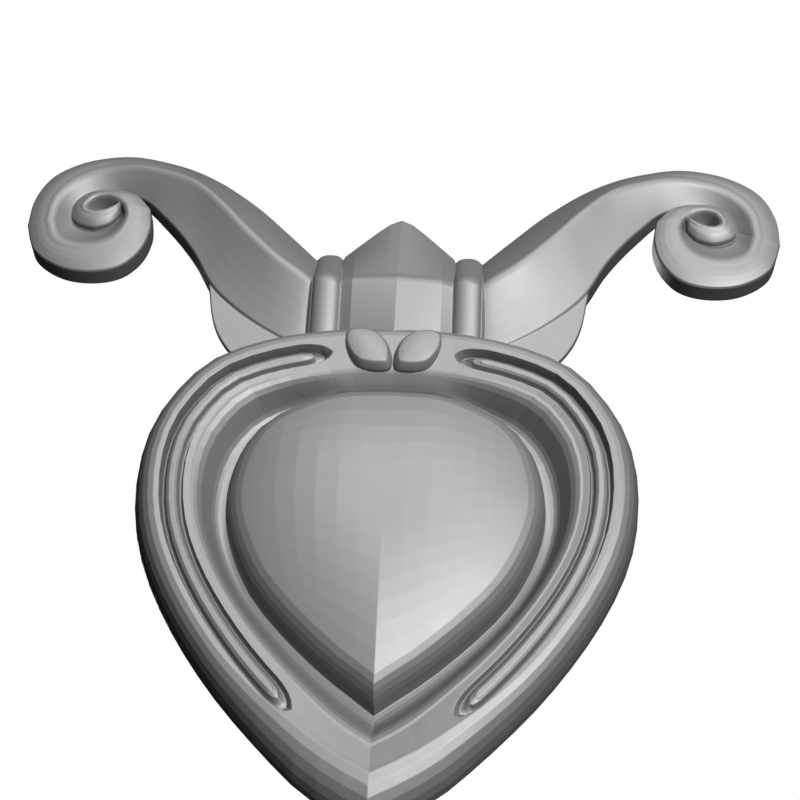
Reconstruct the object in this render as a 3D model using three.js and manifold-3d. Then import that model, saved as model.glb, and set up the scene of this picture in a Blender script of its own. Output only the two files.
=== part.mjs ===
// Carved onlay: a pointed, heart-shaped boss in a moulded frame, under a ribbed crown from which
// two arms curl into scrolls. The whole ornament is carved from one board, so it is one solid.
// Millimetres, +Z up, +X to the right. The flat back lies on y = 0 and the carving faces -Y.
// In the names below "height" is the relief above the back, and "inset" is the way in from the rim.
import * as THREE from "three";
import { mergeVertices } from "three/addons/utils/BufferGeometryUtils.js";
import Module from "manifold-3d";

const wasm = await Module();
wasm.setup();

// Rim of the boss, right half, from the middle of the top round to the point.
const bossRim = [
  [0, 42.3], [15, 41.5], [29.2, 38.3], [41, 32.6], [48.7, 23.6], [53.6, 12.6], [54.9, -1],
  [52.4, -16], [45.1, -32], [33.1, -49.2], [17.7, -65.5], [9, -72.2], [0, -77.2],
];
// Foot of the dome inside the frame, from its top round to its point.
const domeFoot = [
  [0, 24.8], [10.9, 24.1], [20, 20.8], [28, 15.2], [32.8, 7.1], [34.7, -4], [32.9, -14.2],
  [27.8, -25.1], [20.6, -34], [11.4, -42.9], [4.9, -48], [0, -51.8],
];
const rimSteps = 29;

// Moulding of the boss frame.
const backBevel = 1.7;
const rimHeight = 2.4;
const crestInset = 5.2;
const crestHeight = 10.6;
const beadInset = 8.9;
const beadHalf = 0.75;
const beadHeight = 8.1;
const grooveInBead = 1.4;
const grooveHeight = 6.6;
const channelHalf = 2.35;
const channelLineGap = 0.04;
const stepInset = 12.4;
const stepHeight = 8.7;
const floorInset = 19.6;
const floorHeight = 1.9;
const nosePoints = 5;
// Cove between the step and the floor, as shares of its width and of its height.
const coveProfile = [[0.16, 0.97], [0.31, 0.88], [0.46, 0.67], [0.64, 0.34], [0.82, 0.08]];
const channelTopRun = 16.5;
const channelLowRun = 154;
const channelTaper = 9;
const pointWiden = 0.13;

// Dome inside the frame.
const domeWall = 7.5;
const domeEdgeRound = 3.2;
const domeEdgeDrop = 5.4;
const domeRise = 5;
const domeReach = 27;
const domeSpineTop = 4;
const domeSpineSpread = 0.12;
const domeWays = [0.02, 0.25, 0.8, 1.8, domeEdgeRound];
const domeRows = 4;

// Crown between the arms: a softly keeled face between two ribs, and a roof that slopes back.
const crownFoot = 35.5;
const crownEave = 54;
const crownFootHeight = 8;
const crownEaveHeight = 10.2;
const crownKeel = 2.4;
const facetWidth = 2.6;
const crownHalf = 13;
const crownEdge = 21.9;
const crownEdgeDrop = 2.4;
const eaveRound = 1.3;
const eaveDrop = 0.8;
const roofEdgeHeight = 4;
const roofPeak = 76.6;
const roofSlope = 1.06;
const roofPeakRound = 2.2;
const ribMiddle = 16.4;
const ribHalf = 3.1;
const ribRise = 1.5;
const ribRoofTop = 65.4;
const ribRoofRound = 1.6;
const ribGroove = 0.7;
const crownBackSlope = 0.6;

// Lobes below the crown.
const lobeHeight = 11.3;
const lobeRound = 2;
const lobeSlant = 0.11;
const lobeCrest = 0.5;
const lobeFoot = 6;

// Ears: thin leaves between the arms and the boss.
const earHeight = 4.9;
const earThickness = 1.5;
const earEdge = 0.5;
const earSlant = 0.03;
const earMiddle = [32, 44];

// Arm and scroll. Each station is: outer edge x z height, ridge x z height, inner edge x z height.
const arm = [
  [17.6, 61.5, 3.4, 17.4, 52.4, 8, 17.6, 36, 4],
  [20.4, 64.6, 4, 21.2, 54.8, 9.6, 23.4, 38.2, 5],
  [28.1, 72.7, 4, 28.6, 60, 10.6, 34, 44.9, 5.2],
  [34.8, 79.4, 4, 35.8, 67.4, 10.6, 43.2, 53.6, 5.4],
  [43.4, 86.1, 4.2, 43, 76, 10.2, 48.7, 63.3, 5.6],
  [51.7, 90.5, 4.4, 49.8, 83, 9.4, 53.1, 69.7, 5.5],
  [59.4, 92.9, 4.6, 57.4, 87, 8.4, 57.8, 75.4, 5],
  [66.6, 94.1, 4.8, 65, 89.2, 7.6, 62.3, 80.2, 4.4],
  [73.6, 93.6, 4.8, 72.3, 88.8, 7.1, 67, 82.6, 3.7],
  [80.6, 91.3, 4.8, 78, 86.8, 7, 71.2, 82.8, 3.2],
  [86.6, 86.8, 4.8, 82, 83.2, 7, 75.2, 81.8, 2.9],
  [89.9, 79.7, 4.8, 84.3, 78.6, 7, 78.2, 79.6, 2.7],
  [90.4, 71.6, 4.8, 84.8, 72.6, 7, 79.6, 77, 2.6],
];
const scroll = [
  [90.4, 71.6, 4.8, 84.8, 72.6, 7, 79.6, 77, 2.6],
  [87.6, 64, 4.8, 82.7, 67.3, 7, 78.8, 74.8, 2.6],
  [81, 59.2, 4.8, 78.4, 65.2, 7, 76.8, 73.2, 2.6],
  [73.4, 58, 4.8, 73.6, 65.3, 7, 74.2, 73, 2.6],
  [66.6, 59.8, 4.8, 69.6, 67.3, 7, 72, 73.8, 2.6],
  [62.2, 64.8, 4.8, 67.3, 70.9, 7, 70, 75.2, 2.6],
  [60.5, 71.4, 4.8, 66.7, 74.8, 7, 68.4, 76.5, 2.8],
  [61.2, 77.6, 4.8, 67.6, 77.8, 6.9, 69, 78.4, 2.6],
];
const eye = [
  [61.2, 77.6, 4.8, 67.6, 77.8, 6.9, 69, 78.4, 2.6],
  [65, 82.2, 4.3, 69.5, 79.9, 6.8, 72.2, 78.4, 1.9],
  [70.4, 84.1, 3.7, 72.3, 80.9, 6.8, 72.8, 78.8, 1.7],
  [76.6, 83.5, 3.3, 75.3, 80, 6.9, 73.6, 78.8, 1.6],
  [80.2, 79.6, 3.1, 77, 77.4, 7, 74, 78.2, 1.6],
  [79.8, 75, 3, 76.2, 75.9, 7.1, 73.7, 77.7, 1.6],
  [75.2, 72.8, 3, 74, 75.6, 7.2, 73.2, 77.5, 1.6],
  [71, 73.8, 3, 71.6, 76.4, 7.2, 72.5, 77.7, 1.7],
  [68.8, 76.4, 3, 69.9, 77.6, 7.1, 71.2, 78.2, 1.9],
  [68.4, 78.6, 3, 68.9, 78.8, 6.6, 69.6, 79.1, 2.2],
];
const eyeMiddle = [73.2, 78.2];
const eyeFloorRadius = 7;
const eyeFloorHeight = 1.8;
const stationSteps = 3;
const ridgeRound = 0.16;
const ridgeBlunt = 0.25;
const bevelSwell = 0.25;
const slopeHollow = 0.25;

const mix = THREE.MathUtils.lerp;
const fade = (v, a, b) => THREE.MathUtils.smoothstep(v, a, b);

// The faces that join each closed loop of points to the next one.
function skin(loops) {
  const count = loops[0].length;
  const faces = [];
  for (let r = 0; r < loops.length - 1; r++) {
    for (let i = 0; i < count; i++) {
      const a = r * count + i;
      const b = r * count + ((i + 1) % count);
      faces.push([a, b, b + count], [a, b + count, a + count]);
    }
  }
  return faces;
}

// The faces that fill an outline, turned the same way round as the outline itself.
function capFaces(outline) {
  const turn = Math.sign(THREE.ShapeUtils.area(outline));
  return THREE.ShapeUtils.triangulateShape(outline, []).map(([a, b, c]) => {
    const same = Math.sign(THREE.ShapeUtils.area([outline[a], outline[b], outline[c]])) === turn;
    return same ? [a, b, c] : [c, b, a];
  });
}

// Turns a list of closed loops of points into one closed mesh, with a flat cap on either end.
function loft(loops, capOutline) {
  const points = loops.flat();
  const last = points.length - loops[0].length;
  const faces = skin(loops);
  capFaces(capOutline(loops[0])).forEach(([a, b, c]) => faces.push([c, b, a]));
  capFaces(capOutline(loops.at(-1))).forEach(([a, b, c]) => faces.push([a + last, b + last, c + last]));
  return solid(points, faces);
}

// A closed mesh as a solid, with its doubled points merged and its empty faces dropped.
function solid(points, faces) {
  const soup = new THREE.BufferGeometry().setFromPoints(points);
  soup.setIndex(faces.flat());
  const merged = mergeVertices(soup, 1e-4);
  const ids = merged.index.array;
  const kept = [];
  for (let i = 0; i < ids.length; i += 3) {
    const [a, b, c] = [ids[i], ids[i + 1], ids[i + 2]];
    if (a !== b && b !== c && c !== a) kept.push(a, b, c);
  }
  const mesh = new wasm.Mesh({
    numProp: 3,
    vertProperties: merged.attributes.position.array,
    triVerts: new Uint32Array(kept),
  });
  const made = new wasm.Manifold(mesh);
  return made.volume() < 0 ? flipped(mesh) : made;
}

function flipped(mesh) {
  const ids = mesh.triVerts;
  for (let i = 0; i < ids.length; i += 3) [ids[i + 1], ids[i + 2]] = [ids[i + 2], ids[i + 1]];
  return new wasm.Manifold(mesh);
}

const at = (x, z, height) => new THREE.Vector3(x, -height, z);
const seenFromFront = (loop) => loop.map((p) => new THREE.Vector2(p.x, p.z));
const seenFromSide = (loop) => loop.map((p) => new THREE.Vector2(p.z, -p.y));

// The rim and the floor's edge with matching steps, so that a moulding runs between them.
const rimCurve = new THREE.SplineCurve(bossRim.map(([x, z]) => new THREE.Vector2(x, z)));

function insetCurve(inset) {
  const fine = rimCurve.getSpacedPoints(rimSteps * 12);
  const moved = [];
  fine.forEach((p, i) => {
    const a = fine[Math.max(i - 1, 0)];
    const b = fine[Math.min(i + 1, fine.length - 1)];
    const along = b.clone().sub(a).normalize();
    if (i === 0) along.set(1, 0);
    const d = inset * (1 + pointWiden * fade(i / fine.length, 0.65, 1));
    const q = new THREE.Vector2(p.x + along.y * d, p.y - along.x * d);
    const before = moved.at(-1);
    if (q.x >= 0) moved.push(q);
    else if (before && before.x > 0) {
      moved.push(before.clone().lerp(q, before.x / (before.x - q.x)).setX(0));
    }
  });
  return moved;
}

// Distance along a polyline to each of its points.
function runsOf(line) {
  const runs = [0];
  for (let i = 1; i < line.length; i++) runs.push(runs[i - 1] + line[i].distanceTo(line[i - 1]));
  return runs;
}

// The points at given shares of a polyline's length.
function pointsAt(line, shares) {
  const runs = runsOf(line);
  return shares.map((share) => {
    const want = runs.at(-1) * share;
    let i = 1;
    while (i < line.length - 1 && runs[i] < want) i++;
    const part = (want - runs[i - 1]) / (runs[i] - runs[i - 1]);
    return line[i - 1].clone().lerp(line[i], THREE.MathUtils.clamp(part, 0, 1));
  });
}

// Lines across the frame stand at equal steps, and closer together at the ends of the channel.
const rimFine = rimCurve.getSpacedPoints(rimSteps * 12);
const rimLength = runsOf(rimFine).at(-1);
const lineRuns = [];
for (let i = 0; i <= rimSteps; i++) {
  const run = (rimLength * i) / rimSteps;
  const inChannel = run > channelTopRun - 2 && run < channelLowRun + 2;
  const fromEnd = Math.min(Math.abs(run - channelTopRun), Math.abs(run - channelLowRun));
  if (!inChannel || fromEnd > channelTaper) lineRuns.push(run);
}
for (const share of [-0.05, 0.02, 0.12, 0.35, 0.75]) {
  lineRuns.push(channelTopRun + share * channelTaper, channelLowRun - share * channelTaper);
}
lineRuns.sort((a, b) => a - b);
const shares = lineRuns.map((run) => run / rimLength);

const rim = pointsAt(rimFine, shares);
const stepEdge = pointsAt(insetCurve(stepInset), shares);
const footCurve = new THREE.SplineCurve(domeFoot.map(([x, z]) => new THREE.Vector2(x, z)));
const floorEdge = pointsAt(footCurve.getSpacedPoints(rimSteps * 12), shares);

// The place on a line across the frame that is a given inset from the rim.
function acrossFrame(i, inset) {
  if (inset < stepInset) return rim[i].clone().lerp(stepEdge[i], inset / stepInset);
  return stepEdge[i].clone().lerp(floorEdge[i], (inset - stepInset) / (floorInset - stepInset));
}

// How far a line across the frame is past the straight part of the channel, whose ends taper.
function pastChannel(run) {
  const fromEnd = Math.min(run - channelTopRun, channelLowRun - run);
  return Math.max(1 - fromEnd / channelTaper, 0) * channelHalf;
}

// Height of the flat between the crest and the step. A channel with tapered round ends is sunk
// into it, and a bead with the same ends stands in the channel.
function flatHeight(inset, past) {
  const plain = mix(crestHeight, stepHeight, (inset - crestInset) / (stepInset - crestInset));
  const out = Math.hypot(inset - beadInset, past);
  if (out >= channelHalf) return plain;
  if (out > grooveInBead) {
    return mix(grooveHeight, plain, (out - grooveInBead) / (channelHalf - grooveInBead));
  }
  if (out > beadHalf) return mix(beadHeight, grooveHeight, (out - beadHalf) / (grooveInBead - beadHalf));
  return beadHeight;
}

// The moulding's section: pairs of inset and height, from the back round the rim to the floor.
function section(run) {
  const nose = [];
  for (let k = 0; k <= nosePoints; k++) {
    const a = (Math.PI / 2) * (k / nosePoints);
    nose.push([crestInset * (1 - Math.cos(a)), mix(rimHeight, crestHeight, Math.sin(a))]);
  }
  const past = pastChannel(run);
  const outs = [channelHalf, grooveInBead, beadHalf];
  const wide = outs.map((out, k) => Math.sqrt(Math.max(out ** 2 - past ** 2, 0)) + channelLineGap * (3 - k));
  const flat = [...wide.map((w) => beadInset - w), ...wide.reverse().map((w) => beadInset + w)];
  return [
    [backBevel, 0],
    [backBevel * 0.2, rimHeight * 0.45],
    ...nose,
    ...flat.map((inset) => [inset, flatHeight(inset, past)]),
    [stepInset, stepHeight],
    ...coveProfile.map(([inward, high]) => [
      mix(stepInset, floorInset, inward),
      mix(floorHeight, stepHeight, high),
    ]),
    [floorInset, floorHeight],
  ];
}

function bossHalf(side) {
  return rim.map((_, i) => {
    const column = section(lineRuns[i]).map(([inset, height]) => {
      const q = acrossFrame(i, inset);
      return at(side * q.x, q.y, height);
    });
    return column.concat(domeColumn(floorEdge[i], side));
  });
}

// Distance from a point of the dome to the nearest place on its foot.
function wayIn(q) {
  let least = Infinity;
  for (let i = 1; i < floorEdge.length; i++) {
    const edge = new THREE.Line3(asSpace(floorEdge[i - 1]), asSpace(floorEdge[i]));
    const near = edge.closestPointToPoint(asSpace(q), true, new THREE.Vector3());
    least = Math.min(least, near.distanceTo(asSpace(q)));
  }
  return least;
}

const asSpace = (q) => new THREE.Vector3(q.x, q.y, 0);

// A steep foot, a rounded edge, and a pillow that keeps rising with the way in, so that a keel
// stands where the two sides draw together.
function domeHeight(way) {
  const toTop = 1 - Math.min(way / domeEdgeRound, 1);
  const edge = domeEdgeDrop * (Math.sqrt(1 - toTop ** 2) - 1);
  const pillow = domeRise * (1 - (1 - Math.min(way / domeReach, 1)) ** 2);
  return floorHeight + domeWall + edge + pillow;
}

// One line of the dome, from its foot to the spine down its middle.
function domeColumn(foot, side) {
  const nearest = Math.min(foot.y, domeSpineTop);
  const spine = new THREE.Vector2(0, mix(nearest, domeSpineTop, domeSpineSpread));
  const length = foot.distanceTo(spine);
  const along = domeWays.map((way) => Math.min(way / length, 1));
  const edge = along.at(-1);
  for (let k = 1; k <= domeRows; k++) along.push(mix(edge, 1, k / domeRows));
  return along.map((share) => {
    const q = foot.clone().lerp(spine, share);
    return at(side * q.x, q.y, domeHeight(wayIn(q)));
  });
}

function boss() {
  const right = bossHalf(1);
  const left = bossHalf(-1).slice(1, -1).reverse();
  const columns = right.concat(left);
  const loops = columns[0].map((_, level) => columns.map((column) => column[level]));
  const back = capFaces(seenFromFront(loops[0])).map((face) => face.reverse());
  return solid(loops.flat(), skin(loops).concat(back));
}

// Crown: upright sections from one side to the other, each foot, face, eave, roof and back.
function crownLift(x, footward) {
  const away = Math.abs(x);
  const fromRib = Math.abs(away - ribMiddle) / ribHalf;
  if (fromRib < 1) return ribRise * Math.sqrt(1 - fromRib ** 2) - ribGroove;
  if (away > ribMiddle) return -ribGroove - crownEdgeDrop * fade(away, ribMiddle + ribHalf, crownEdge);
  const keel = crownKeel * footward * (1 - away / crownHalf);
  return keel - ribGroove * fade(away, crownHalf - 1.4, crownHalf);
}

function crownTop(x) {
  const away = Math.abs(x);
  const gable = roofPeak - roofSlope * (Math.hypot(away, roofPeakRound) - roofPeakRound);
  const fromRib = Math.min(Math.abs(away - ribMiddle) / ribHalf, 1);
  const rib = ribRoofTop - ribRoofRound * fromRib ** 3;
  return away < ribMiddle - ribHalf ? Math.max(gable, rib) : rib;
}

function crown() {
  const facets = Math.round(crownHalf / facetWidth);
  const xs = [];
  for (let k = 0; k <= facets; k++) xs.push((crownHalf * k) / facets);
  for (let k = 0; k <= 6; k++) xs.push(ribMiddle - ribHalf * Math.cos((Math.PI * k) / 6));
  xs.push(ribMiddle + ribHalf + 0.3, crownEdge);
  const all = xs.slice(1).reverse().map((x) => -x).concat(xs);
  const loops = all.map((x) => {
    const top = crownTop(x);
    const face = (up) => mix(crownFootHeight, crownEaveHeight, up) + crownLift(x, 1 - up);
    const eaveHeight = face(1) - eaveDrop;
    const line = [
      [crownFoot, 0],
      [crownFoot, face(0)],
      [mix(crownFoot, crownEave, 0.5), face(0.5)],
      [crownEave - eaveRound, face(1)],
      [crownEave, face(1) - eaveDrop / 4],
    ];
    for (const share of [0, 1 / 3, 2 / 3, 1]) {
      line.push([mix(crownEave + eaveRound, top, share), mix(eaveHeight, roofEdgeHeight, share)]);
    }
    line.push([top - crownBackSlope, 0]);
    return line.map(([z, height]) => at(x, z, height));
  });
  return loft(loops, seenFromSide);
}

// Lobe: a leaf-shaped outline with upright walls and a rounded edge.
const lobeOutline = [
  [0.2, 33], [1.4, 36.2], [4.1, 38.6], [7.4, 39.5], [10.3, 39.1], [12, 37.4], [11.5, 35], [9.9, 32.4],
  [7.6, 30.2], [4.3, 29.3], [1.1, 29.6],
];

function lobe(side) {
  const curve = new THREE.SplineCurve(
    [...lobeOutline, lobeOutline[0]].map(([x, z]) => new THREE.Vector2(x, z)),
  );
  const rimPoints = curve.getSpacedPoints(22).slice(0, -1);
  const middle = new THREE.Vector2();
  rimPoints.forEach((p) => middle.addScaledVector(p, 1 / rimPoints.length));
  const levels = [
    [0, lobeFoot], [0, lobeHeight - lobeRound], [lobeSlant, lobeHeight - lobeRound * 0.36],
    [lobeSlant * 2, lobeHeight], [0.55, lobeHeight + lobeCrest * 0.7], [0.96, lobeHeight + lobeCrest],
  ];
  const loops = levels.map(([share, height]) =>
    rimPoints.map((p) => {
      const q = p.clone().lerp(middle, share);
      return at(side * q.x, q.y, height);
    }),
  );
  return loft(loops, seenFromFront);
}

// Ear: a thin leaf that fills the corner between the arm and the boss.
const earOutline = [
  [22, 40], [40, 56.5], [45, 57], [44.2, 52.6], [43.3, 47.4], [42.2, 43.4], [40.4, 39.4], [37.4, 35.2],
  [33, 31], [22, 34],
];

function ear(side) {
  const shape = earOutline.map(([x, z]) => new THREE.Vector2(x, z));
  const middle = new THREE.Vector2(...earMiddle);
  const levels = [[0, earHeight - earThickness], [0, earHeight - earEdge], [earSlant, earHeight]];
  const loops = levels.map(([share, height]) =>
    shape.map((p) => {
      const q = p.clone().lerp(middle, share);
      return at(side * q.x, q.y, height);
    }),
  );
  return loft(loops, seenFromFront);
}

// Arm and scroll: smooth sections through the stations, each a bevel, a rounded ridge and a slope.
function ribbon(stations, side) {
  const rows = [0, 3, 6].map((k) => ({
    plan: new THREE.SplineCurve(stations.map((s) => new THREE.Vector2(s[k], s[k + 1]))),
    lift: new THREE.SplineCurve(stations.map((s, i) => new THREE.Vector2(i, s[k + 2]))),
  }));
  const steps = (stations.length - 1) * stationSteps;
  const loops = [];
  for (let i = 0; i <= steps; i++) {
    const t = i / steps;
    const [outer, ridge, inner] = rows.map((row) => {
      const p = row.plan.getPoint(t);
      return at(side * p.x, p.y, row.lift.getPoint(t).y);
    });
    const between = (a, b, share, sink) => a.clone().lerp(b, share).add(new THREE.Vector3(0, sink, 0));
    loops.push([
      at(outer.x, outer.z, 0),
      outer,
      between(outer, ridge, 0.5, -bevelSwell),
      between(outer, ridge, 1 - ridgeRound, 0),
      between(outer, ridge, 1, ridgeBlunt),
      between(ridge, inner, ridgeRound, 0),
      between(ridge, inner, 0.5, slopeHollow),
      between(ridge, inner, 1 - ridgeRound, slopeHollow / 2),
      inner,
      at(inner.x, inner.z, 0),
    ]);
  }
  const lastUpper = loops[0].length - 2;
  const across = (loop) =>
    loop.map((p, i) => new THREE.Vector2(THREE.MathUtils.clamp(i, 1, lastUpper), -p.y));
  return loft(loops, across);
}

function eyeFloor(side) {
  const disc = (height) => {
    const loop = [];
    for (let k = 0; k < 12; k++) {
      const a = (Math.PI * 2 * k) / 12;
      const x = eyeMiddle[0] + eyeFloorRadius * Math.cos(a);
      loop.push(at(side * x, eyeMiddle[1] + eyeFloorRadius * Math.sin(a), height));
    }
    return loop;
  };
  return loft([disc(0), disc(eyeFloorHeight)], seenFromFront);
}

const pieces = [boss(), crown()];
for (const side of [1, -1]) {
  pieces.push(lobe(side), ear(side), eyeFloor(side));
  pieces.push(ribbon(arm, side), ribbon(scroll, side), ribbon(eye, side));
}
const carved = pieces.reduce((whole, piece) => whole.add(piece));

const mesh = carved.getMesh();
const geometry = new THREE.BufferGeometry();
const positions = new Float32Array(mesh.numVert * 3);
for (let i = 0; i < mesh.numVert; i++) {
  for (let k = 0; k < 3; k++) positions[i * 3 + k] = mesh.vertProperties[i * mesh.numProp + k];
}
geometry.setAttribute("position", new THREE.BufferAttribute(positions, 3));
geometry.setIndex(new THREE.BufferAttribute(new Uint32Array(mesh.triVerts), 1));
geometry.computeVertexNormals();

const primedWood = new THREE.MeshStandardMaterial({ color: 0xa6a6a6, roughness: 0.55, metalness: 0 });
const onlay = new THREE.Mesh(geometry, primedWood);
onlay.name = "carved_onlay";

const part = new THREE.Group();
part.add(onlay);
export default part;
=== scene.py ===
import math

import bpy
import numpy as np
from mathutils import Matrix, Vector


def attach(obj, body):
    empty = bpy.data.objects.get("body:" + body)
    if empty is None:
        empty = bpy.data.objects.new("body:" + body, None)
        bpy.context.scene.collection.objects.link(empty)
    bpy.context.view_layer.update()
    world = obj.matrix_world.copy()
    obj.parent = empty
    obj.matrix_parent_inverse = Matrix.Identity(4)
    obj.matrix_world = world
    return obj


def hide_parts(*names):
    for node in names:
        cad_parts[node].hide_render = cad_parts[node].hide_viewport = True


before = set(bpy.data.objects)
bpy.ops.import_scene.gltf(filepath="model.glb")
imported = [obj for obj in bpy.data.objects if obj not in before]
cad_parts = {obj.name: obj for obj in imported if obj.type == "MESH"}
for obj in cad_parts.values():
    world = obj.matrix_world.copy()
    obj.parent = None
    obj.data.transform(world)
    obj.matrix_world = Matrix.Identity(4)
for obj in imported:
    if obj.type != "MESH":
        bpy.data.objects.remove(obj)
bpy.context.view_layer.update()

# Moulded frame of the boss
# A running moulding is cut round the heart: a rounded outer edge, a crest, a channel with a bead
# in it on either side, a step, and a cove down to the floor. It is worked in flats about 6 mm
# long, so each stretch lies part of the way from a true curve to a straight cut.
MM = 0.001
# Each half outline runs from the top's middle round to the point, as x and z.
boss_rim = [
    (0, 42.3), (15, 41.5), (29.2, 38.3), (41, 32.6), (48.7, 23.6), (53.6, 12.6), (54.9, -1),
    (52.4, -16), (45.1, -32), (33.1, -49.2), (17.7, -65.5), (9, -72.2), (0, -77.2),
]
dome_foot = [
    (0, 24.8), (10.9, 24.1), (20, 20.8), (28, 15.2), (32.8, 7.1), (34.7, -4), (32.9, -14.2),
    (27.8, -25.1), (20.6, -34), (11.4, -42.9), (4.9, -48), (0, -51.8),
]
flats_round_rim = 29
cuts_per_flat = 5
flatness = 0.98
back_bevel = 1.7
# The bevel at the back rises over a knee, at these shares of its depth and of the rim's height.
bevel_knee = (0.2, 0.45)
rim_height = 2.4
crest_inset = 4.8
crest_widen = 2.7
crest_widens_from = 125
crest_height = 10.6
crest_fall = 0.15
crest_flat_least = 0.3
nose_flats = 6
bead_inset = 8.5
# Half the width and the height of each step from the channel's lips, which follow the crest, in to
# the top of the bead.
channel_steps = [(2.4, 0), (1.9, 7.6), (1.55, 7.9), (1.1, 8.9), (0.5, 9.3)]
channel_step_gap = 0.02
channel_top_run = 16.5
channel_low_run = 154
channel_taper = 9
cuts_in_taper = 13
cut_before_taper = 0.04
step_inset = 12.4
step_height = 8.7
floor_inset = 19.6
floor_height = 1.9
# The cove's points are shares of its width and height. At the heart's top it falls more gently.
cove = [
    (0.08, 1), (0.2, 0.93), (0.32, 0.79), (0.45, 0.5), (0.58, 0.2), (0.66, 0.08), (0.75, 0.02), (0.86, 0),
]
cove_at_top = [0.97, 0.91, 0.83, 0.74, 0.64, 0.57, 0.49, 0.37]
cove_change_runs = (14, 36)
point_widen = 0.13
point_widens_from = 0.65


def smooth_line(points, per_span=24, closed=False):
    """A smooth curve through the points, as a fine polyline."""
    p = np.array(points, float)
    ends = (p[-1:], p[:1], p[1:2]) if closed else (p[:1], p[-1:], p[-1:])
    p = np.concatenate([ends[0], p, ends[1]] + ([ends[2]] if closed else []))
    t = np.arange(per_span)[:, None] / per_span
    spans = []
    for a, b, c, d in zip(p[:-3], p[1:-2], p[2:-1], p[3:]):
        v, w = (c - a) / 2, (d - b) / 2
        spans.append((2 * b - 2 * c + v + w) * t**3 + (3 * c - 3 * b - 2 * v - w) * t**2 + v * t + b)
    return np.concatenate(spans + [p[-2:-1]])


def runs_of(line):
    """The distance along a polyline to each of its points."""
    return np.concatenate([[0], np.cumsum(np.linalg.norm(np.diff(line, axis=0), axis=1))])


def points_at(line, shares):
    """The points at the given shares of a polyline's length."""
    runs = runs_of(line)
    want = np.asarray(shares) * runs[-1]
    return np.stack([np.interp(want, runs, axis) for axis in line.T], axis=1)


def fade(v, a, b):
    """A smooth change from 0 at a to 1 at b."""
    t = np.clip((v - a) / (b - a), 0, 1)
    return t * t * (3 - 2 * t)


def moved_in(line, inset, widen=0.0):
    """A half outline moved inwards and cut off on the middle line, where both halves meet."""
    along = np.gradient(line, axis=0)
    along[0] = (1, 0)
    along /= np.linalg.norm(along, axis=1)[:, None]
    share = np.arange(len(line)) / (len(line) - 1)
    way = inset * (1 + widen * fade(share, point_widens_from, 1))
    out = line + np.stack([along[:, 1], -along[:, 0]], axis=1) * way[:, None]
    past = len(out) - int(np.argmax(out[::-1, 0] >= 0))
    if past < len(out):
        a, b = out[past - 1], out[past]
        meet = a + (b - a) * a[0] / (a[0] - b[0])
        out = np.concatenate([out[:past], [(0, meet[1])]])
    return out[out[:, 0] >= 0]


def solid(name, loops):
    """A closed mesh from rings of (x, height, z) points in millimetres, each with as many points."""
    loops = np.asarray(loops, float)
    rings, count = loops.shape[:2]
    points = loops.reshape(-1, 3) * (MM, -MM, MM)
    faces = []
    for r in range(rings - 1):
        for i in range(count):
            j = (i + 1) % count
            faces.append((r * count + i, r * count + j, (r + 1) * count + j, (r + 1) * count + i))
    faces.append(tuple(range(count))[::-1])
    faces.append(tuple((rings - 1) * count + i for i in range(count)))
    mesh = bpy.data.meshes.new(name)
    mesh.from_pydata(points.tolist(), [], faces)
    obj = bpy.data.objects.new(name, mesh)
    bpy.context.scene.collection.objects.link(obj)
    return obj


rim_line = smooth_line(boss_rim)
step_line = moved_in(rim_line, step_inset, point_widen)
foot_line = smooth_line(dome_foot)
rim_length = runs_of(rim_line)[-1]

flat_ends = np.linspace(0, rim_length, flats_round_rim + 1)
fine_runs = np.linspace(0, rim_length, flats_round_rim * cuts_per_flat + 1)
near_ends = np.linspace(-cut_before_taper, 1, cuts_in_taper + 1) * channel_taper
fine_runs = np.concatenate([fine_runs, channel_top_run + near_ends, channel_low_run - near_ends])
fine_runs = np.unique(np.round(fine_runs, 3))


def in_flats(line, runs):
    """Points on a line that is cut in flats: between the true curve and the chord of each flat."""
    true = points_at(line, runs / rim_length)
    corners = points_at(line, flat_ends / rim_length)
    chord = np.stack([np.interp(runs, flat_ends, axis) for axis in corners.T], axis=1)
    return true + (chord - true) * flatness


rim = in_flats(rim_line, fine_runs)
step_edge = in_flats(step_line, fine_runs)
floor_edge = in_flats(foot_line, fine_runs)


def crest_at(run):
    """How far in the crest lies: it widens towards the point."""
    return crest_inset + crest_widen * fade(run, crest_widens_from, rim_length)


def channel_points(run):
    """Inset and height across the crest's flat, where the channel and its bead taper to their ends."""
    half = channel_steps[0][0]
    crest = crest_at(run)

    def flat(inset):
        ends = [crest, max(bead_inset - half, crest + crest_flat_least), step_inset]
        return np.interp(inset, ends, [crest_height, crest_height - crest_fall, step_height])

    from_end = min(run - channel_top_run, channel_low_run - run)
    past = max(1 - from_end / channel_taper, 0) * half
    outs = [s[0] for s in channel_steps[::-1]]
    heights = [s[1] for s in channel_steps[::-1]]
    heights[-1] = flat(bead_inset)
    middle = np.interp(past, outs, heights)
    left, right = [], []
    for k, (out, height) in enumerate(channel_steps):
        width = math.sqrt(max(out**2 - past**2, 0)) + channel_step_gap * (len(channel_steps) - k)
        for side, rows in ((-1, left), (1, right)):
            inset = bead_inset + side * width
            level = flat(inset) if k == 0 or past >= half else height if out > past else middle
            rows.append((inset, level))
    return left + right[::-1]


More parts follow.
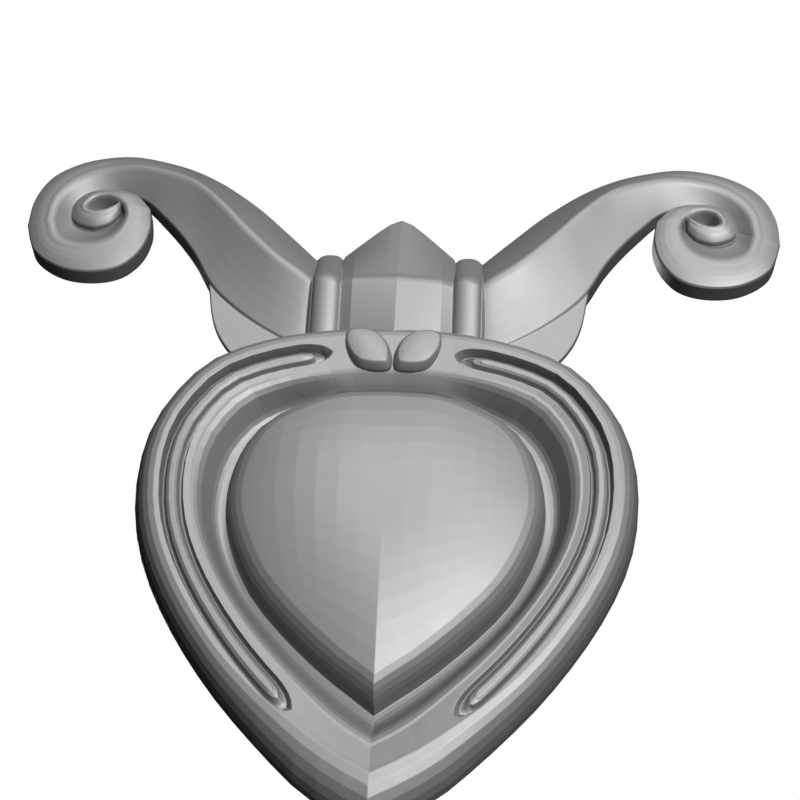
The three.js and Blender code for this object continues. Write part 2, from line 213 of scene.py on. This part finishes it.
def frame_section(run):
    """Inset and height from the back, round the rim, over the crest and down to the floor."""
    turns = np.linspace(0, math.pi / 2, nose_flats + 1)
    crest = crest_at(run)
    rows = [(back_bevel, 0), (back_bevel * bevel_knee[0], rim_height * bevel_knee[1])]
    for turn in turns:
        rise = (crest_height - rim_height) * math.sin(turn)
        rows.append((crest * (1 - math.cos(turn)), rim_height + rise))
    rows += channel_points(run)
    rows.append((step_inset, step_height))
    at_top = 1 - fade(run, *cove_change_runs)
    for (wide, high), high_at_top in zip(cove, cove_at_top):
        inset = step_inset + (floor_inset - step_inset) * wide
        high += (high_at_top - high) * at_top
        rows.append((inset, floor_height + (step_height - floor_height) * high))
    rows.append((floor_inset, floor_height))
    return rows


def half_frame(side):
    """The moulding's section at each cut round one half of the heart."""
    columns = []
    for run, a, b, c in zip(fine_runs, rim, step_edge, floor_edge):
        column = []
        for inset, height in frame_section(run):
            if inset < step_inset:
                q = a + (b - a) * inset / step_inset
            else:
                q = b + (c - b) * (inset - step_inset) / (floor_inset - step_inset)
            column.append((side * q[0], height, q[1]))
        columns.append(column)
    return columns


right_half = half_frame(1)
left_half = half_frame(-1)[1:-1][::-1]
frame_loops = np.array(right_half + left_half).transpose(1, 0, 2)
forms = [solid("boss_frame", frame_loops)]

# Dome of the boss
# A pillow of solid wood fills the frame. Its edge is rounded over in five bands that run with the
# outline, and its face is cut in flats about 4.5 mm wide that draw together in a keel at the point.
dome_wall = 7.5
dome_edge_round = 4
dome_edge_drop = 5.4
dome_rise = 5
dome_reach = 27
dome_bands = [0, 0.3, 0.85, 1.6, 2.6]
flats_across = 7
flats_down = 14
cuts_per_dome_flat = 4
# The face of each half is a grid, whose corners meet the outline at these shares of its length.
corner_top_share = 0.33
corner_low_share = 0.66


def dome_height(way):
    """The dome's height by the way in from its foot."""
    to_top = 1 - np.clip(way / dome_edge_round, 0, 1)
    edge = dome_edge_drop * (np.sqrt(1 - to_top**2) - 1)
    pillow = dome_rise * (1 - (1 - np.clip(way / dome_reach, 0, 1)) ** 2)
    return floor_height + dome_wall + edge + pillow


def way_in(points):
    """The distance from points of the dome to the nearest place on its foot."""
    a, b = foot_line[:-1], foot_line[1:]
    span = b - a
    off = points[:, None, :] - a[None]
    share = np.clip((off * span).sum(2) / (span**2).sum(1), 0, 1)
    return np.linalg.norm(off - share[..., None] * span, axis=2).min(1)


def cut_shares(flats, a, b):
    """The cuts of so many flats between two shares of the outline."""
    return np.linspace(a, b, flats * cuts_per_dome_flat + 1)


across = cut_shares(flats_across, 0, corner_top_share)
down = cut_shares(flats_down, corner_top_share, corner_low_share)
back = cut_shares(flats_across, corner_low_share, 1)
edge_shares = np.concatenate([across, down[1:], back[1:]])


def dome_grid():
    """The face of half the dome: a grid of flats between its top, its side, its point and its middle."""
    edge = moved_in(foot_line, dome_edge_round)
    top, flank, low = (points_at(edge, s) for s in (across, down, back))
    low = low[::-1]
    u = np.linspace(0, 1, len(across))[None, :, None]
    v = np.linspace(0, 1, len(down))[:, None, None]
    spine = np.stack([np.zeros(len(down)), np.linspace(top[0, 1], low[0, 1], len(down))], axis=1)
    plan = (1 - v) * top[None] + v * low[None] + (1 - u) * spine[:, None] + u * flank[:, None]
    plan = plan - (1 - v) * ((1 - u) * top[0] + u * top[-1]) - v * ((1 - u) * low[0] + u * low[-1])
    rows, columns = plan.shape[:2]
    height = dome_height(way_in(plan.reshape(-1, 2))).reshape(rows, columns)
    cut = cuts_per_dome_flat
    corner = height[::cut, ::cut]
    at_row, at_column = np.arange(rows) / cut, np.arange(columns) / cut
    by_row = np.stack([np.interp(at_column, range(corner.shape[1]), r) for r in corner])
    flat = np.stack([np.interp(at_row, range(corner.shape[0]), c) for c in by_row.T], axis=1)
    height = height + (flat - height) * flatness
    return np.stack([plan[..., 0], height, plan[..., 1]], axis=2)


def dome():
    """The whole dome: its wall and bands round the edge, its face, and both again in mirror image."""
    rings, cut = [], cuts_per_dome_flat
    levels = [(0, 0)] + [(way, float(dome_height(way))) for way in dome_bands]
    for way, level in levels:
        line = points_at(moved_in(foot_line, way), edge_shares)
        corners = line[::cut].T
        chord = np.stack([np.interp(edge_shares, edge_shares[::cut], axis) for axis in corners], axis=1)
        line = line + (chord - line) * flatness
        rings.append(np.stack([line[:, 0], np.full(len(line), level), line[:, 1]], axis=1))
    grid = dome_grid()
    rings.append(np.concatenate([grid[0], grid[1:, -1], grid[-1, -2::-1]]))
    points, faces, ids = [], [], {}

    def vertex(p):
        key = tuple(np.round(p, 4))
        if key not in ids:
            ids[key] = len(points)
            points.append((p[0] * MM, -p[1] * MM, p[2] * MM))
        return ids[key]

    def face(corners):
        ring = list(dict.fromkeys(vertex(p) for p in corners))
        if len(ring) > 2:
            faces.append(ring)

    mirror = np.array((-1, 1, 1))
    for lower, upper in zip(rings, rings[1:]):
        for a, b, c, d in zip(lower, lower[1:], upper[1:], upper):
            face((a, b, c, d))
            face((d * mirror, c * mirror, b * mirror, a * mirror))
    for row, below in zip(grid, grid[1:]):
        for a, b, c, d in zip(row, row[1:], below[1:], below):
            face((b, c, d, a))
            face((a * mirror, d * mirror, c * mirror, b * mirror))
    foot = list(rings[0])
    face(foot[::-1] + [p * mirror for p in foot[1:-1]])
    mesh = bpy.data.meshes.new("dome")
    mesh.from_pydata(points, [], faces)
    obj = bpy.data.objects.new("dome", mesh)
    bpy.context.scene.collection.objects.link(obj)
    return obj


forms.append(dome())

# Crown
# The block between the arms has a softly keeled face between two upright ribs, a rounded eave, and
# a gabled roof that falls back to the flat of the board.
crown_foot = 32.5
crown_eave = 54
crown_foot_height = 5.4
crown_eave_height = 10.2
crown_keel = 4
crown_keel_loss = 0.7
crown_half = 13
crown_edge = 21.9
crown_edge_drop = 2.4
eave_round = 1.3
eave_turns = (0.35, 0.7)
eave_drop = 0.8
roof_edge_height = 4
roof_peak = 76.6
roof_slope = 1.06
roof_peak_round = 2.2
roof_undercut = 0.6
rib_middle = 16.4
rib_half = 3.1
rib_rise = 1.5
rib_roof_top = 65.4
rib_roof_round = 1.6
rib_groove = 0.7
rib_groove_shoulder = 1.4
crown_flats = 5
cuts_per_crown_flat = 4
rib_flats = 16
crown_edge_flats = 5
face_rows = 8
roof_rows = 9


def crown_lift(x, footward):
    """How far the keel, a rib, a groove or the outer edge lifts or lowers the crown's face."""
    away = abs(x)
    from_rib = abs(away - rib_middle) / rib_half
    if from_rib < 1:
        return rib_rise * math.sqrt(1 - from_rib**2) - rib_groove
    if away > rib_middle:
        return -rib_groove - crown_edge_drop * fade(away, rib_middle + rib_half, crown_edge)
    keel = crown_keel * footward * (1 - away / crown_half)
    return keel - rib_groove * fade(away, crown_half - rib_groove_shoulder, crown_half)


def crown_top(x):
    """Where the roof ends: on the gable's slope, or on a rib's rounded top."""
    away = abs(x)
    gable = roof_peak - roof_slope * (math.hypot(away, roof_peak_round) - roof_peak_round)
    from_rib = min(abs(away - rib_middle) / rib_half, 1)
    rib = rib_roof_top - rib_roof_round * from_rib**3
    return max(gable, rib) if away < rib_middle - rib_half else rib


def crown_line(x):
    """The crown's section at x: up its face, round the eave and over the roof to the back."""
    top = crown_top(x)

    def face(up):
        height = crown_foot_height + (crown_eave_height - crown_foot_height) * up
        return height + crown_lift(x, 1 - crown_keel_loss * up)

    eave = crown_eave + eave_round
    line = [(x, 0, crown_foot)]
    for up in np.linspace(0, 1, face_rows):
        line.append((x, face(up), crown_foot + (crown_eave - eave_round - crown_foot) * up))
    for turn in eave_turns:
        drop = eave_drop * (1 - math.cos(turn * math.pi / 2))
        line.append((x, face(1) - drop, crown_eave - eave_round + 2 * eave_round * turn))
    for down_roof in np.linspace(0, 1, roof_rows):
        height = face(1) - eave_drop + (roof_edge_height - face(1) + eave_drop) * down_roof
        line.append((x, height, eave + (top - eave) * down_roof))
    line.append((x, 0, top - roof_undercut))
    return np.array(line)


def crown():
    """Both halves of the crown: the flats of its face, then each rib, then its outer edge."""
    cut = crown_half / crown_flats
    lines = []
    for k in range(crown_flats * cuts_per_crown_flat + 1):
        flat, share = divmod(k / cuts_per_crown_flat, 1)
        true = crown_line(cut * (flat + share))
        chord = crown_line(cut * flat) * (1 - share) + crown_line(cut * min(flat + 1, crown_flats)) * share
        lines.append(true + (chord - true) * flatness)
    for k in range(1, rib_flats + 1):
        lines.append(crown_line(rib_middle - rib_half * math.cos(math.pi * k / rib_flats)))
    for k in range(1, crown_edge_flats + 1):
        past_rib = (crown_edge - rib_middle - rib_half) * k / crown_edge_flats
        lines.append(crown_line(rib_middle + rib_half + past_rib))
    lines = np.array(lines)
    mirrored = lines[1:][::-1] * (-1, 1, 1)
    return solid("crown", np.concatenate([mirrored, lines]))


forms.append(crown())

# Lobes
# A pair of leaf-shaped buds lies over the frame at the crown's foot. They meet at the middle, with
# slanting sides and a face that is nearly flat.
lobe_outline = [
    (0.15, 30.3), (0.1, 33), (1, 35.8), (2.5, 37.9), (4.5, 39.4), (7.2, 40.1), (9.9, 39.9), (11.4, 38.7),
    (11.7, 36.9), (11.1, 34.2), (9.7, 31.6), (7.9, 29.8), (5.8, 29.1), (3.4, 28.9), (1, 29.2),
]
lobe_points = 60
lobe_foot = 6
lobe_height = 11
# Shares of the way to its middle, and the height there over or under the lobe's height.
lobe_slope = [
    (0, -2), (0.05, -1.35), (0.11, -0.72), (0.17, -0.25), (0.22, 0), (0.4, 0.2), (0.65, 0.38), (0.96, 0.5),
]


def lobe(side):
    line = points_at(smooth_line(lobe_outline, closed=True), np.arange(lobe_points) / lobe_points)
    middle = line.mean(0)
    loops = []
    for share, level in [(0, lobe_foot)] + [(share, lobe_height + lift) for share, lift in lobe_slope]:
        q = line + (middle - line) * share
        loops.append(np.stack([side * q[:, 0], np.full(lobe_points, float(level)), q[:, 1]], axis=1))
    return solid("lobe", loops)


# Ears
# Between each arm and the boss the board is cut away to a thin leaf with a soft edge. The first two
# corners of its outline and the last one lie within the arm and the boss, and stay sharp.
ear_outline = [
    (22, 40), (40, 56.5), (45, 57), (44.2, 52.6), (43.3, 47.4), (42.2, 43.4), (40.4, 39.4), (37.4, 35.2),
    (33, 31), (22, 34),
]
ear_middle = (32, 44)
ear_height = 4.9
ear_thickness = 1.5
ear_back_bevel = 0.3
ear_back_inset = 0.012
ear_round = 0.5
ear_round_inset = 0.03
ear_round_flats = 4
cuts_per_ear_point = 6


def ear(side):
    fine = smooth_line(ear_outline[2:-1], cuts_per_ear_point)
    line = np.concatenate([np.array(ear_outline[:2], float), fine, np.array(ear_outline[-1:], float)])
    loops = []
    levels = [(ear_back_inset, -ear_thickness), (0, ear_back_bevel - ear_thickness)]
    for k in range(ear_round_flats + 1):
        turn = k / ear_round_flats * math.pi / 2
        levels.append((ear_round_inset * (1 - math.cos(turn)), ear_round * (math.sin(turn) - 1)))
    for share, drop in levels:
        q = line + (np.array(ear_middle) - line) * share
        loops.append(np.stack([side * q[:, 0], np.full(len(q), ear_height + drop), q[:, 1]], axis=1))
    return solid("ear", loops)


# Arms and scrolls
# Each arm rises from the crown and curls in on itself. A bevel runs along its outer side up to a
# soft ridge, and a broad hollow face falls from there to the inner edge. The end rolls up in an eye.
# Each station gives outer edge x z height, ridge x z height, inner edge x z height.
arm = [
    (17.6, 61.5, 3.4, 17.4, 52.4, 8, 17.6, 36, 4),
    (20.4, 64.6, 4, 21.2, 54.8, 9.6, 23.4, 38.2, 5),
    (28.1, 72.7, 4, 28.6, 60, 10.6, 34, 44.9, 5.2),
    (34.8, 79.4, 4, 35.8, 67.4, 10.6, 43.2, 53.6, 5.4),
    (43.4, 86.1, 4.2, 43, 76, 10.2, 48.7, 63.3, 5.6),
    (51.7, 90.5, 4.4, 49.8, 83, 9.4, 53.1, 69.7, 5.5),
    (59.4, 92.9, 4.6, 57.4, 87, 8.4, 57.8, 75.4, 5),
    (66.6, 94.1, 4.8, 65, 89.2, 7.6, 62.3, 80.2, 4.4),
    (73.6, 93.6, 4.8, 72.3, 88.8, 6.8, 67, 82.6, 3.7),
    (80.6, 91.3, 4.8, 78, 86.8, 6.5, 71.2, 82.8, 3.2),
    (86.6, 86.8, 4.8, 82, 83.2, 6.4, 75.2, 81.8, 2.9),
    (89.9, 79.7, 4.8, 84.3, 78.6, 6.4, 78.2, 79.6, 2.7),
    (90.4, 71.6, 4.8, 84.8, 72.6, 6.4, 79.6, 77, 2.6),
]
scroll = [
    arm[-1],
    (87.6, 64, 4.8, 82.7, 67.3, 6.4, 78.8, 74.8, 2.6),
    (81, 59.2, 4.8, 78.4, 65.2, 6.4, 76.8, 73.2, 2.6),
    (73.4, 58, 4.8, 73.6, 65.3, 6.4, 74.2, 73, 2.6),
    (66.6, 59.8, 4.8, 69.6, 67.3, 6.4, 72, 73.8, 2.6),
    (62.2, 64.8, 4.8, 67.3, 70.9, 6.4, 70, 75.2, 2.6),
    (60.5, 71.4, 4.8, 66.7, 74.8, 6.4, 68.4, 76.5, 2.8),
    (61.2, 77.6, 4.8, 67.6, 77.8, 6.4, 69, 78.4, 2.6),
]
eye = [
    scroll[-1],
    (65, 81.9, 4.7, 69.5, 80, 6.4, 72.2, 78.4, 1.9),
    (70.4, 83.5, 4.6, 72.3, 81, 6.5, 72.8, 78.8, 1.7),
    (76.6, 82.7, 4.5, 75.3, 80.2, 6.5, 73.6, 78.8, 1.6),
    (80.2, 78.7, 4.4, 77, 77.6, 6.5, 74, 78.2, 1.6),
    (79.8, 74.1, 4.4, 76.2, 76.2, 6.5, 73.7, 77.7, 1.6),
    (75.2, 71.9, 4.4, 74, 75.9, 6.5, 73.2, 77.5, 1.6),
    (71, 72.9, 4.4, 71.6, 76.7, 6.5, 72.5, 77.7, 1.7),
    (68.8, 75.5, 4.4, 69.9, 77.9, 6.4, 71.2, 78.2, 1.9),
    (68.4, 77.8, 4.2, 68.9, 79, 6.2, 69.6, 79.1, 2.2),
]
eye_middle = (73.2, 78.2)
eye_floor_radius = 7
eye_floor_height = 1.8
eye_floor_points = 32
cuts_per_station = 10
outer_break = 0.35
bevel_shares = (0.05, 0.25, 0.5, 0.75)
bevel_swell = 0.25
ridge_band = 1.5
ridge_band_most = 0.4
ridge_turns = (0, 0.25, 0.5, 0.75, 1)
slope_shares = (0.2, 0.4, 0.6, 0.8)
slope_hollow = 0.25
inner_break = 0.3
inner_break_share = 0.03


def ribbon(name, stations, side):
    """A strip with a bevel, a ridge and a slope, swept through its stations."""
    fine = smooth_line(stations, cuts_per_station)
    outer, ridge, inner = (fine[:, [k, k + 2, k + 1]] for k in (0, 3, 6))
    flat = (1, 0, 1)

    def reach(to):
        return np.minimum(ridge_band / np.linalg.norm(to - ridge, axis=1), ridge_band_most)[:, None]

    start, end = (ridge + (to - ridge) * reach(to) for to in (outer, inner))
    rows = [outer * flat, outer - (0, outer_break, 0)]
    for share in bevel_shares:
        rows.append(outer + (start - outer) * share + (0, bevel_swell * math.sin(share * math.pi), 0))
    for turn in ridge_turns:
        rows.append(start * (1 - turn) ** 2 + 2 * ridge * turn * (1 - turn) + end * turn**2)
    for share in slope_shares:
        rows.append(end + (inner - end) * share - (0, slope_hollow * math.sin(share * math.pi), 0))
    rows += [inner + (ridge - inner) * inner_break_share, inner - (0, inner_break, 0), inner * flat]
    loops = np.stack(rows, axis=1) * (side, 1, 1)
    return solid(name, loops)


def eye_floor(side):
    turn = np.arange(eye_floor_points) * math.tau / eye_floor_points
    x = side * (eye_middle[0] + eye_floor_radius * np.cos(turn))
    z = eye_middle[1] + eye_floor_radius * np.sin(turn)
    levels = (np.full(eye_floor_points, height) for height in (0.0, eye_floor_height))
    return solid("eye_floor", [np.stack([x, level, z], axis=1) for level in levels])


for side in (1, -1):
    forms += [lobe(side), ear(side), eye_floor(side)]
    forms += [ribbon("arm", arm, side), ribbon("scroll", scroll, side), ribbon("eye", eye, side)]


# The carving in one piece
# All of it is cut from one board, so the forms are joined into a single closed skin that stands for
# the solid and keeps its flat back.
def facing_out(obj):
    """Turns a form's faces outwards where its volume comes out negative."""
    mesh = obj.data
    mesh.calc_loop_triangles()
    co = np.array([v.co for v in mesh.vertices])
    tris = np.array([t.vertices for t in mesh.loop_triangles])
    a, b, c = co[tris[:, 0]], co[tris[:, 1]], co[tris[:, 2]]
    if np.einsum("ij,ij->i", a, np.cross(b, c)).sum() < 0:
        mesh.flip_normals()


def joined(whole, other):
    """Joins another form to the whole."""
    union = whole.modifiers.new("join", "BOOLEAN")
    union.operation = "UNION"
    union.solver = "MANIFOLD"
    union.object = other
    graph = bpy.context.evaluated_depsgraph_get()
    mesh = bpy.data.meshes.new_from_object(whole.evaluated_get(graph))
    whole.modifiers.clear()
    whole.data = mesh
    bpy.data.objects.remove(other)


for form in forms:
    facing_out(form)
onlay = forms[0]
for form in forms[1:]:
    joined(onlay, form)
onlay.name = "carved_heart_onlay"
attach(onlay, "root")
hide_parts("carved_onlay")


# Primer on carved wood
# Close-grained carved wood in a thin coat of grey satin primer: an even, slightly soft sheen, the
# grain just telegraphing through it, and nothing glossy.
def linear(hex_colour):
    parts = [int(hex_colour[i : i + 2], 16) / 255 for i in (1, 3, 5)]
    return tuple(c / 12.92 if c <= 0.04045 else ((c + 0.055) / 1.055) ** 2.4 for c in parts) + (1,)


primer = bpy.data.materials.new("satin grey primer on carved wood")
primer.use_nodes = True
tree = primer.node_tree
tree.nodes.clear()


def add(kind, links=(), **settings):
    """Adds a node, sets its fields and socket values, and links its inputs by name or number."""
    node = tree.nodes.new(kind)
    for key, value in settings.items():
        if hasattr(node, key):
            setattr(node, key, value)
        else:
            node.inputs[key.replace("_", " ")].default_value = value
    for name, source in dict(links).items():
        tree.links.new(source, node.inputs[name])
    return node


edge_softness = 0.35 * MM
# A close grain is finer than this, and is drawn as coarse as it needs to be to show.
grain_wide = 0.45 * MM
grain_long = 5 * MM
grain_depth = 0.03 * MM
brush_patch = 9 * MM
object_space = add("ShaderNodeTexCoord")
along_board = add(
    "ShaderNodeMapping",
    links={"Vector": object_space.outputs["Object"]},
    Scale=(1 / grain_long, 1 / grain_wide, 1 / grain_wide),
)
grain = add(
    "ShaderNodeTexNoise",
    links={"Vector": along_board.outputs[0]},
    Scale=1,
    Detail=3,
    Roughness=0.55,
)
patches = add(
    "ShaderNodeTexNoise",
    links={"Vector": object_space.outputs["Object"]},
    Scale=1 / brush_patch,
    Detail=2,
)
sheen = add(
    "ShaderNodeMapRange",
    links={"Value": patches.outputs["Fac"]},
    From_Min=0.3,
    From_Max=0.7,
    To_Min=0.57,
    To_Max=0.59,
)
soft = add("ShaderNodeBevel", Radius=edge_softness, samples=8)
raised = add(
    "ShaderNodeBump",
    links={"Height": grain.outputs["Fac"], "Normal": soft.outputs[0]},
    Strength=0.15,
    Distance=grain_depth,
)
bsdf = add(
    "ShaderNodeBsdfPrincipled",
    links={"Normal": raised.outputs[0], "Roughness": sheen.outputs[0]},
    Base_Color=linear("#6a6a6a"),
    IOR=1.65,
    Specular_IOR_Level=1,
)
add("ShaderNodeOutputMaterial", links={"Surface": bsdf.outputs[0]})
onlay.data.materials.clear()
onlay.data.materials.append(primer)

# Camera
# It looks up at the onlay from below and a little from the right, with a long lens. The view's gamma
# deepens the darks.
scene = bpy.context.scene
scene.view_settings.view_transform = "Standard"
scene.view_settings.gamma = 0.7
look_up = math.radians(34)
from_right = math.radians(2.539)
roll = math.radians(3.121)
distance = 410.9 * MM
aim = Vector((1.71 * MM, 0, 27 * MM))
forward = Vector(
    (-math.sin(from_right) * math.cos(look_up), math.cos(from_right) * math.cos(look_up), math.sin(look_up))
)
level = Vector((math.cos(from_right), math.sin(from_right), 0))
upward = level.cross(forward)
camera = bpy.data.objects.new("camera", bpy.data.cameras.new("camera"))
scene.collection.objects.link(camera)
camera.data.lens = 81
camera.data.sensor_width = 36
camera.data.clip_start = 0.01
camera.data.clip_end = 20
side_axis = level * math.cos(roll) + upward * math.sin(roll)
up_axis = upward * math.cos(roll) - level * math.sin(roll)
placed = Matrix((side_axis, up_axis, -forward)).transposed().to_4x4()
placed.translation = aim - forward * distance
camera.matrix_world = placed
scene.camera = camera


# Light and floor
# A soft key that casts no shadow stands in front, to the right and a little low. A weaker box shines
# from above, and a narrow one from behind for the back. The floor and the room are plain and pale,
# and look evenly lit.
def softbox(name, toward, away, wide, tall, power, beam=180, shadow=True):
    """A soft light turned to the onlay, with its sizes in metres and its beam in degrees."""
    lamp = bpy.data.lights.new(name, "AREA")
    lamp.spread = math.radians(beam)
    lamp.use_shadow = shadow
    lamp.shape = "RECTANGLE"
    lamp.size = wide
    lamp.size_y = tall
    lamp.energy = power
    box = bpy.data.objects.new(name, lamp)
    scene.collection.objects.link(box)
    direction = Vector(toward).normalized()
    box.location = aim + direction * away
    box.rotation_mode = "QUATERNION"
    box.rotation_quaternion = (-direction).to_track_quat("-Z", "Y")
    box.visible_camera = False


softbox("key", (0.36, -0.93, -0.12), 1.0, 0.25, 0.3, 17.5, shadow=False)
softbox("top fill", (0, -0.77, 0.64), 1.0, 0.3, 0.3, 6.5)
softbox("back fill", (-0.2, 0.9, 0.4), 1.2, 0.4, 0.4, 2, beam=60)

floor_drop = 1
floor_size = 4
half = floor_size / 2
floor_mesh = bpy.data.meshes.new("floor")
corners = ((-half, -half), (half, -half), (half, half), (-half, half))
floor_mesh.from_pydata([(x, y, -floor_drop) for x, y in corners], [], [(0, 1, 2, 3)])
floor = bpy.data.objects.new("floor", floor_mesh)
scene.collection.objects.link(floor)
# A matt sheet of pale paper, which the camera sees without shade.
paper = bpy.data.materials.new("pale paper floor")
paper.use_nodes = True
tree = paper.node_tree
tree.nodes.clear()
matt = add("ShaderNodeBsdfDiffuse", Color=linear("#e6e6e4"))
evenly_lit = add("ShaderNodeEmission", Color=linear("#e6e6e4"), Strength=1)
seen = add("ShaderNodeLightPath").outputs["Is Camera Ray"]
shown = add("ShaderNodeMixShader", links={0: seen, 1: matt.outputs[0], 2: evenly_lit.outputs[0]})
add("ShaderNodeOutputMaterial", links={"Surface": shown.outputs[0]})
floor_mesh.materials.append(paper)

world = bpy.data.worlds.new("studio")
scene.world = world
world.use_nodes = True
tree = world.node_tree
tree.nodes.clear()
dim = add("ShaderNodeBackground", Color=(0.006, 0.006, 0.006, 1))
white = add("ShaderNodeBackground", Color=(1, 1, 1, 1))
seen = add("ShaderNodeLightPath").outputs["Is Camera Ray"]
shown = add("ShaderNodeMixShader", links={0: seen, 1: dim.outputs[0], 2: white.outputs[0]})
add("ShaderNodeOutputWorld", links={"Surface": shown.outputs[0]})
